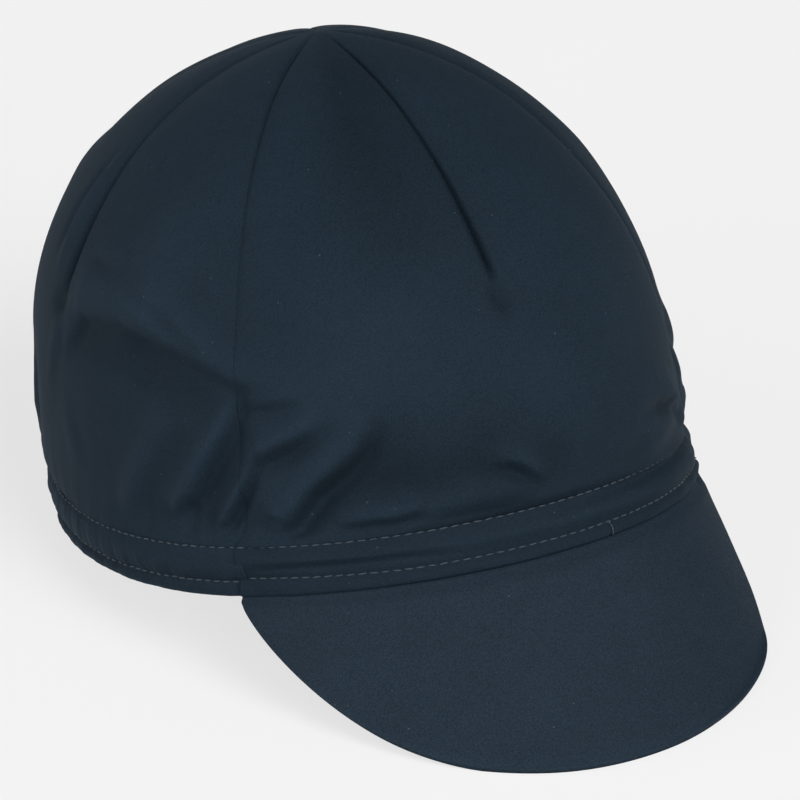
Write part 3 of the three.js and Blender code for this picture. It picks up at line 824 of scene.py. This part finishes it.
def makeCrownPanel(panel, material):
    climb = rowClimbs()[:, None]
    start, centre, end = (lineAngle(seamLines[name], climb) for name in panel["lines"])
    half = columnShares(panel["columns"] // 2)[None, :]
    angle = np.concatenate([mix(start, centre, half), mix(centre, end, half[:, 1:])], axis=1)
    climb = climb + 0 * angle
    smoothPoints = crownSurface(angle, climb)
    normal = crownNormal(angle, climb)
    shrink = narrowing(climb)
    toSeam = np.minimum(angle - start, end - angle) * capShape["arcPerDegree"] * shrink
    relief = crownRelief(angle, climb, smoothPoints)
    tight = mix(crownSet["seamAtFoot"], 1, smooth(climb, *crownSet["seamGrows"]))
    drawn = (crownSet["seamDepth"] * tight * bump(toSeam, crownSet["seamWidth"])
             + crownSet["seamHollow"] * bump(toSeam, crownSet["seamHollowWidth"]))
    relief = relief - drawn * smooth(shrink, *crownSet["seamCalms"])
    outer = smoothPoints + normal * relief[..., None]
    inner = outer - normal * crownSet["cloth"]
    radius = np.hypot(smoothPoints[..., 0], smoothPoints[..., 1] - capShape["topSetback"])
    uv = clothUv(smoothPoints, angle, seamLines[panel["lines"][1]]["angle"], radius)
    # painted shade: the hollows of the relief darken the cloth, while its ridges lighten as wear
    wornAndShaded = np.clip(relief / crownSet["wearAndShadeLift"], *crownSet["wearAndShadeRange"])
    wearAndPaintedLight = wornAndShaded + paintedLightAndShade(angle, smoothPoints[..., 2])
    piece = clothMesh(panel["name"], laid(outer), laid(inner), uv, wearAndPaintedLight, material)
    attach(piece, "root")
    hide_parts(panel["node"])


# The two bands

bandSet = {
    "cloth": 2.0,
    "hemRows": 8,
    "levels": 46,
    "hemStitch": 3.7,  # height of the lower stitch row above the hem
    "topStitch": 12.3,
    "stitchDepth": 0.38,
    "stitchWidth": 0.8,
    "hemBulge": 0.55,
    "topGap": 0.05,
    "waver": 0.12,
    "waverSize": 9.0,
    "hemOutPower": 1.5,
    "frontColumns": 300,
    "backColumns": 900,
    # wear along the hem, at a height in mm, and along the ridge, at a share of the band's height
    "hemRub": {"at": 0.4, "width": 0.8, "share": 1.0},
    "ridgeRub": {"at": 0.6, "width": 0.12, "share": 0.5},
}

# The front band rolls over along its length: where its ridge stands, how far out and how soon it falls
frontRolls = {
    "angle": (-56, -46, -26, -8, 14, 26, 46, 56),
    "ridge": (0.36, 0.32, 0.34, 0.45, 0.52, 0.6, 0.62, 0.6),
    "out": (0.2, 0.8, 1.0, 0.9, 0.9, 1.3, 1.4, 0.9),
    "below": (0.3, 0.3, 0.32, 0.4, 0.4, 0.3, 0.3, 0.4),
    "above": (0.5, 0.42, 0.45, 0.55, 0.48, 0.4, 0.38, 0.4),
    "hemOut": (-0.2, 0.0, 0.1, 0.0, 0.0, 0.0, 0.3, 0.3),
    "tuck": (1.0, 2.0, 1.8, 0.5, 0.0, 0.0, 0.0, 0.0),
}
frontTuck = {"share": 0.8, "width": 0.14}

backRoll = {"out": 1.2, "roundness": 0.7, "gather": 0.6, "gatherAtHem": 0.35, "lap": 1.4}
casingTuck = {"near": 0.4, "nearAngles": (0.8, 3.0), "far": 1.3, "farAngles": (1.0, 10.0)}
hemDrop = {"depth": 0.8, "angle": 66.0, "width": 26.0}
rowShift = {"frontRise": 0.6, "frontAngles": (22, 48), "backDrop": 0.4, "backAngles": (75, 110)}

# The hem's ends meet under the front, in a notch beside a bar of stitches; heights above the hem
hemJoin = {
    "angle": -12.8, "beside": 0.3, "width": 0.28, "depth": 0.5, "notchEnds": (2.8, 4.0), "bar": (0.9, 3.5),
}


def hemSag(angle, up):  # the hem hangs a little lower beside the peak
    low = 1 - smooth(up, 0, bandSet["hemStitch"])
    return hemDrop["depth"] * around(angle, hemDrop["angle"], hemDrop["width"]) * low


def rowHeight(angle, level, front):  # the lower row steps where the two bands meet
    if level != "hemStitch":
        return bandSet[level] + 0 * angle
    turn = nearestTurn(angle, 0.0)
    rise = rowShift["frontRise"] * smooth(turn, *rowShift["frontAngles"])
    drop = rowShift["backDrop"] * (1 - smooth(turn, *rowShift["backAngles"])) * (turn > 0)
    return bandSet[level] + (rise if front else -drop)


def rollValue(angle, key):
    return np.interp(angle, frontRolls["angle"], frontRolls[key])


def bandShape(angle, up):  # how far the band's skin stands out from the straight line, in mm
    onFront = nearestTurn(angle, 0.0)
    share = (up - bandSet["hemStitch"]) / (capShape["bandHeight"] - bandSet["hemStitch"])
    ridge = rollValue(onFront, "ridge")
    lower = smooth(share, np.maximum(ridge - rollValue(onFront, "below"), 0), ridge)
    upper = 1 - smooth(share, ridge, np.minimum(ridge + rollValue(onFront, "above"), 1.0))
    strip = np.clip(up / bandSet["hemStitch"], 0, 1)
    hem = (bandSet["hemBulge"] * np.sin(np.pi * strip)
           + rollValue(onFront, "hemOut") * (1 - strip) ** bandSet["hemOutPower"])
    tuck = rollValue(onFront, "tuck") * bump(share - frontTuck["share"], frontTuck["width"])
    return rollValue(onFront, "out") * lower * upper + hem - tuck


def backShape(angle, up, points):
    share = np.clip((up - bandSet["hemStitch"]) / (capShape["bandHeight"] - bandSet["hemStitch"]), 0, 1)
    roll = backRoll["out"] * np.sin(np.pi * share) ** backRoll["roundness"]
    strip = np.clip(up / bandSet["hemStitch"], 0, 1)
    roll = roll + bandSet["hemBulge"] * np.sin(np.pi * strip)
    waist = np.sin(np.pi * np.clip(up / capShape["bandHeight"], 0, 1))
    gather = backRoll["gather"] * mix(backRoll["gatherAtHem"], 1, waist)
    return roll + gather * elasticPucker(angle, points)


def bandSkin(angle, up, front):  # skin of a band at an angle and a height above the hem
    hem = ringPoint("hem", angle, rimHeight(angle))
    join = ringPoint("join", angle, rimHeight(angle) + capShape["bandHeight"])
    base = mix(hem, join, (up / capShape["bandHeight"])[..., None])
    out = bandShape(angle, up) if front else backShape(angle, up, base)
    for level in ("hemStitch", "topStitch"):
        row = rowHeight(angle, level, front)
        out = out - bandSet["stitchDepth"] * bump(up - row, bandSet["stitchWidth"])
    out = out + bandSet["waver"] * unevenness(base, bandSet["waverSize"], 21)
    flare = farPinch["hemOut"] * around(angle, farPinch["hemAngle"], farPinch["hemWidth"])
    out = out + flare * (1 - smooth(up, *farPinch["hemFades"]))
    pinch = farPinch["depth"] * around(angle, farPinch["angle"], farPinch["width"])
    out = out - pinch * smooth(up, *farPinch["growsOnBand"])
    if front:
        notch = bump(angle - hemJoin["angle"] - hemJoin["beside"], hemJoin["width"])
        out = out - hemJoin["depth"] * notch * (1 - smooth(up, *hemJoin["notchEnds"]))
    else:  # its ends are tucked under the front band
        turn = nearestTurn(angle, 180.0)
        corner = seamLines["nearSeam"]["angle"]
        out = out - casingTuck["near"] * (1 - smooth(turn - corner, *casingTuck["nearAngles"]))
        out = out - casingTuck["far"] * (1 - smooth(360 - corner - turn, *casingTuck["farAngles"]))
    skin = base + ringNormal(angle) * out[..., None]
    skin[..., 2] -= hemSag(angle, up)
    return skin


def makeBand(name, node, fromAngle, toAngle, columns, front, material):
    angle = np.linspace(fromAngle, toAngle, columns + 1)[None, :]
    half = bandSet["cloth"] / 2
    turn = np.linspace(0, np.pi / 2, bandSet["hemRows"])
    levels = np.linspace(half, capShape["bandHeight"] - bandSet["topGap"], bandSet["levels"])
    up = np.concatenate([half * (1 - np.cos(turn)), levels[1:]])[:, None] + 0 * angle
    fullness = np.concatenate([np.sin(turn), np.ones(len(levels) - 1)])[:, None, None]
    angle = angle + 0 * up
    skin = bandSkin(angle, up, front)
    normal = ringNormal(angle)
    middle = skin - normal * half
    outer = middle + normal * half * fullness
    inner = middle - normal * half * fullness
    uv = clothUv(skin, angle, (fromAngle + toAngle) / 2, capShape["arcPerDegree"] * 180 / np.pi)
    share = np.clip(up / capShape["bandHeight"], 0, 1)
    wearAndPaintedLight = sum(place["share"] * bump(level - place["at"], place["width"])
              for level, place in ((up, bandSet["hemRub"]), (share, bandSet["ridgeRub"])))
    piece = clothMesh(name, laid(outer), laid(inner), uv, wearAndPaintedLight, material)
    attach(piece, "root")
    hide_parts(node)


# The peak

peakSet = {
    "reach": 35.0, "fall": 1.39, "unbend": 0.000054, "curl": 0.0025,
    "acrossPower": 2.0, "forwardPower": 1.99, "nearWaist": 0.030, "farWaist": -0.043,
    # how the edge leaves the band's ends: mm, and how soon it is back on its curve
    "nearCorner": 0.8, "nearPower": 40, "farCorner": -4.1, "farPower": 16,
    "cloth": 2.4, "cornerTurn": 0.4,
    "rootInset": 0.3, "rootBelow": 0.12, "rootThickness": 1.9,
    "rows": 60, "edgeRows": 8, "columns": 260,
    "swell": 0.14, "swellSize": 26.0, "swellGrows": (0.0, 0.15),
    "rootBlend": (0.0, 5.0), "edgeRub": (0.9, 1.0),
    "keptShare": 0.62, "keptSoftness": 0.2,  # share of the thickness left where it lies on the floor
}


def peakHeight(x, y):
    cornerAngle = seamLines["nearSeam"]["angle"]
    corner = ringPoint("hem", cornerAngle, rimHeight(cornerAngle))
    front = capShape["hem"]["front"]
    rise = rimHeight(0.0)
    rootBend = (rise + peakSet["fall"] * (corner[1] + front) - corner[2]) / corner[0] ** 2
    bend = rootBend - peakSet["unbend"] * (corner[1] - y)
    return (rise + peakSet["fall"] * (y + front) - bend * x ** 2
            + peakSet["curl"] * np.minimum(y + front, 0) ** 2)


def peakSurface(turn, share):  # turn runs round the edge from 0 to 180, share from root to edge
    cornerAngle = seamLines["nearSeam"]["angle"]
    corner = ringPoint("hem", cornerAngle, 0.0)
    c, s = np.cos(np.radians(turn)), np.sin(np.radians(turn))
    rootAngle = cornerAngle * c
    root = ringPoint("hem", rootAngle, rimHeight(rootAngle))
    waist = 1 - np.where(c > 0, peakSet["nearWaist"], peakSet["farWaist"]) * 2 * s * np.abs(c)
    cornerPull = np.where(c > 0, -peakSet["nearCorner"] * np.abs(c) ** peakSet["nearPower"],
                          peakSet["farCorner"] * np.abs(c) ** peakSet["farPower"])
    edgeX = corner[0] * np.sign(c) * np.abs(c) ** (2 / peakSet["acrossPower"]) * waist + cornerPull
    edgeY = corner[1] - (capShape["hem"]["front"] + peakSet["reach"] + corner[1]) * s ** (
        2 / peakSet["forwardPower"])
    x, y = mix(root[..., 0], edgeX, share), mix(root[..., 1], edgeY, share)
    step = (root[..., 2] - peakHeight(root[..., 0], root[..., 1])) * (1 - share) ** 2
    return np.stack([x, y, peakHeight(x, y) + step], -1)


def peakNormal(points):
    x, y = points[..., 0], points[..., 1]
    step = slopeSteps["peak"]
    slopeX = (peakHeight(x + step, y) - peakHeight(x - step, y)) / (2 * step)
    slopeY = (peakHeight(x, y + step) - peakHeight(x, y - step)) / (2 * step)
    return unit(np.stack([-slopeX, -slopeY, 1 + 0 * x], -1))


def makePeak(material):
    firstTurn, count = peakSet["cornerTurn"], peakSet["columns"] + 1
    turn = np.linspace(firstTurn, 180 - firstTurn, count)[None, :]
    half = peakSet["cloth"] / 2
    length = np.linalg.norm(peakSurface(turn, 1.0) - peakSurface(turn, 0.0), axis=-1)
    rounding = np.clip(half / length, 0, 0.5)
    flat = np.linspace(0, 1, peakSet["rows"])[:, None] * (1 - rounding)
    roll = np.linspace(0, np.pi / 2, peakSet["edgeRows"])[1:, None]
    share = np.concatenate([flat, 1 - rounding * (1 - np.sin(roll))])
    fullness = np.concatenate([1 + 0 * flat, np.cos(roll) + 0 * rounding])
    turn = turn + 0 * share
    sheet = peakSurface(turn, share)
    normal = peakNormal(sheet)
    quiet = smooth(share, *peakSet["swellGrows"])
    swell = peakSet["swell"] * unevenness(sheet, peakSet["swellSize"], 31) * quiet
    sheet = sheet + normal * swell[..., None]
    outer = sheet + normal * (half * fullness)[..., None]
    inner = sheet - normal * (half * fullness)[..., None]
    # the root is cut level, just under the front band
    inward = unit(np.stack([-sheet[..., 0], -sheet[..., 1], 0 * sheet[..., 0]], -1))
    rootTop = sheet[:1] + inward[:1] * peakSet["rootInset"] - np.array([0, 0, peakSet["rootBelow"]])
    blend = (1 - smooth(share * length, *peakSet["rootBlend"]))[..., None]
    rootOuter = sheet + (rootTop - sheet[:1])
    outer = mix(outer, rootOuter, blend)
    inner = mix(inner, rootOuter + inward * peakSet["rootThickness"], blend)
    radius = capShape["hem"]["front"]
    bearing = np.degrees(np.arcsin(np.clip(sheet[..., 0] / radius, -1, 1)))
    uv = clothUv(sheet, bearing, 0.0, radius)
    wearAndPaintedLight = smooth(share, *peakSet["edgeRub"])
    outer, inner = laid(outer), laid(inner)
    # where the edge is pressed on the floor, the sheet keeps its thickness
    kept = peakSet["keptShare"] * peakSet["cloth"] * fullness / 1000
    soft = peakSet["keptSoftness"] / 1000
    outer[..., 2] = kept + soft * np.logaddexp(0, (outer[..., 2] - kept) / soft)
    piece = clothMesh("peakCloth", outer, inner, uv, wearAndPaintedLight, material)
    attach(piece, "root")
    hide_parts("peak")


# Stitches, made along a path by geometry nodes

stitchSet = {
    "thickness": 0.0004,
    "standOff": 0.05,  # mm that the thread's middle stands above the cloth
    "pathSteps": 900,
    "barSteps": 12,
    "tilt": 5.5,  # degrees that single stitches stray
    "sizes": (0.88, 1.08),
    "segments": 8,
    "rings": 6,
    "rows": [
        {"name": "upperStitches", "level": "topStitch", "seed": 3, "pitch": 0.0030, "length": 0.0022},
        {"name": "lowerStitches", "level": "hemStitch", "seed": 7, "pitch": 0.0030, "length": 0.0022},
        {"name": "hemBar", "level": None, "seed": 5, "pitch": 0.0009, "length": 0.0012},
    ],
}


def makeStitchTree():
    tree = bpy.data.node_groups.new("stitchRow", "GeometryNodeTree")
    face = tree.interface
    face.new_socket(name="Path", in_out="INPUT", socket_type="NodeSocketGeometry")
    for label in ("Pitch", "Length", "Thickness", "Tilt"):
        face.new_socket(name=label, in_out="INPUT", socket_type="NodeSocketFloat")
    face.new_socket(name="Seed", in_out="INPUT", socket_type="NodeSocketInt")
    face.new_socket(name="Thread", in_out="INPUT", socket_type="NodeSocketMaterial")
    face.new_socket(name="Stitches", in_out="OUTPUT", socket_type="NodeSocketGeometry")
    given, result = tree.nodes.new("NodeGroupInput"), tree.nodes.new("NodeGroupOutput")
    asked = given.outputs
    # places along the path
    curve = addNode(tree, "GeometryNodeMeshToCurve", {"Mesh": asked["Path"]})
    spaced = addNode(tree, "GeometryNodeCurveToPoints",
                     {"Curve": curve.outputs["Curve"], "Length": asked["Pitch"]}, mode="LENGTH")
    # the shape of one stitch
    stitch = addNode(tree, "GeometryNodeMeshUVSphere", {
        "Segments": stitchSet["segments"], "Rings": stitchSet["rings"], "Radius": 0.5,
    })
    sizes = addNode(tree, "ShaderNodeCombineXYZ",
                    {"X": asked["Thickness"], "Y": asked["Thickness"], "Z": asked["Length"]})
    shaped = addNode(tree, "GeometryNodeTransform",
                     {"Geometry": stitch.outputs["Mesh"], "Scale": sizes.outputs["Vector"]})
    # its direction along the path, straying a little
    align = addNode(tree, "FunctionNodeAlignRotationToVector", {"Vector": spaced.outputs["Tangent"]},
                    axis="Z")
    stray = addNode(tree, "FunctionNodeRandomValue", {
        "Min": scaledBy(tree, (-1, -1, 0), asked["Tilt"]), "Max": scaledBy(tree, (1, 1, 0), asked["Tilt"]),
        "Seed": asked["Seed"],
    }, data_type="FLOAT_VECTOR")
    turned = addNode(tree, "FunctionNodeRotateRotation",
                     {"Rotation": align.outputs["Rotation"], "Rotate By": stray.outputs["Value"]},
                     rotation_space="LOCAL")
    # stitches of uneven size at those places
    smallest, largest = stitchSet["sizes"]
    size = addNode(tree, "FunctionNodeRandomValue",
                   {"Min": smallest, "Max": largest, "Seed": asked["Seed"]}, data_type="FLOAT")
    placed = addNode(tree, "GeometryNodeInstanceOnPoints", {
        "Points": spaced.outputs["Points"], "Instance": shaped.outputs["Geometry"],
        "Rotation": turned.outputs["Rotation"], "Scale": size.outputs["Value"],
    })
    real = addNode(tree, "GeometryNodeRealizeInstances", {"Geometry": placed.outputs["Instances"]})
    soft = addNode(tree, "GeometryNodeSetShadeSmooth", {"Geometry": real.outputs["Geometry"]})
    finish = addNode(tree, "GeometryNodeSetMaterial",
                     {"Geometry": soft.outputs["Geometry"], "Material": asked["Thread"]})
    fill(tree, result, {"Stitches": finish.outputs["Geometry"]})
    return tree


def socketId(tree, label):
    for item in tree.interface.items_tree:
        if item.item_type == "SOCKET" and item.in_out == "INPUT" and item.name == label:
            return item.identifier
    raise KeyError(label)


def pathObject(name, points, closed):
    mesh = bpy.data.meshes.new(name)
    count = len(points)
    edges = [(i, (i + 1) % count) for i in range(count if closed else count - 1)]
    mesh.from_pydata(points.tolist(), edges, [])
    return newObject(name, mesh)


def joinPath(name):  # the short upright bar that closes the hem
    up = np.linspace(*hemJoin["bar"], stitchSet["barSteps"])
    angle = np.full_like(up, hemJoin["angle"])
    skin = bandSkin(angle, up, True)
    return pathObject(name, laid(skin + ringNormal(angle) * stitchSet["standOff"]), False)


def stitchPath(name, level):
    corner = seamLines["nearSeam"]["angle"]
    angle = np.linspace(-corner, 360 - corner, stitchSet["pathSteps"], endpoint=False)
    onFront = (angle < corner)[..., None]
    skin = np.where(onFront, bandSkin(angle, rowHeight(angle, level, True), True),
                    bandSkin(angle, rowHeight(angle, level, False), False))
    return pathObject(name, laid(skin + ringNormal(angle) * stitchSet["standOff"]), True)


def makeStitches(row, tree, material):
    path = stitchPath(row["name"], row["level"]) if row["level"] else joinPath(row["name"])
    modifier = path.modifiers.new("stitchRow", "NODES")
    modifier.node_group = tree
    values = {
        "Pitch": row["pitch"], "Length": row["length"], "Thickness": stitchSet["thickness"],
        "Tilt": math.radians(stitchSet["tilt"]), "Seed": row["seed"], "Thread": material,
    }
    for label, value in values.items():
        modifier[socketId(tree, label)] = value
    view = bpy.context.evaluated_depsgraph_get()
    mesh = bpy.data.meshes.new_from_object(path.evaluated_get(view))
    path.modifiers.remove(modifier)
    path.data = mesh
    mesh.name = row["name"]
    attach(path, "root")


# Everything together

makeCamera()
makeLights()
makeFloor()
print("stage: camera, lights and floor")

materials = {
    "crown": makeClothMaterial("navyCrown", crownLook),
    "band": makeClothMaterial("navyBand", bandLook),
    "elastic": makeClothMaterial("navyElastic", elasticLook),
    "peak": makeClothMaterial("navyPeak", peakLook),
    "thread": makeThreadMaterial(),
}

for panel in crownSet["panels"]:
    makeCrownPanel(panel, materials["crown"])
print("stage: crown panels")

frontEnd = seamLines["nearSeam"]["angle"]
backStart = frontEnd - backRoll["lap"]
makeBand("frontBand", "front_band", -frontEnd, frontEnd, bandSet["frontColumns"], True,
         materials["band"])
makeBand("backCasing", "back_band", backStart, 360 - backStart, bandSet["backColumns"],
         False, materials["elastic"])
print("stage: bands")

makePeak(materials["peak"])
print("stage: peak")

stitchTree = makeStitchTree()
for row in stitchSet["rows"]:
    makeStitches(row, stitchTree, materials["thread"])
print("stage: stitches")
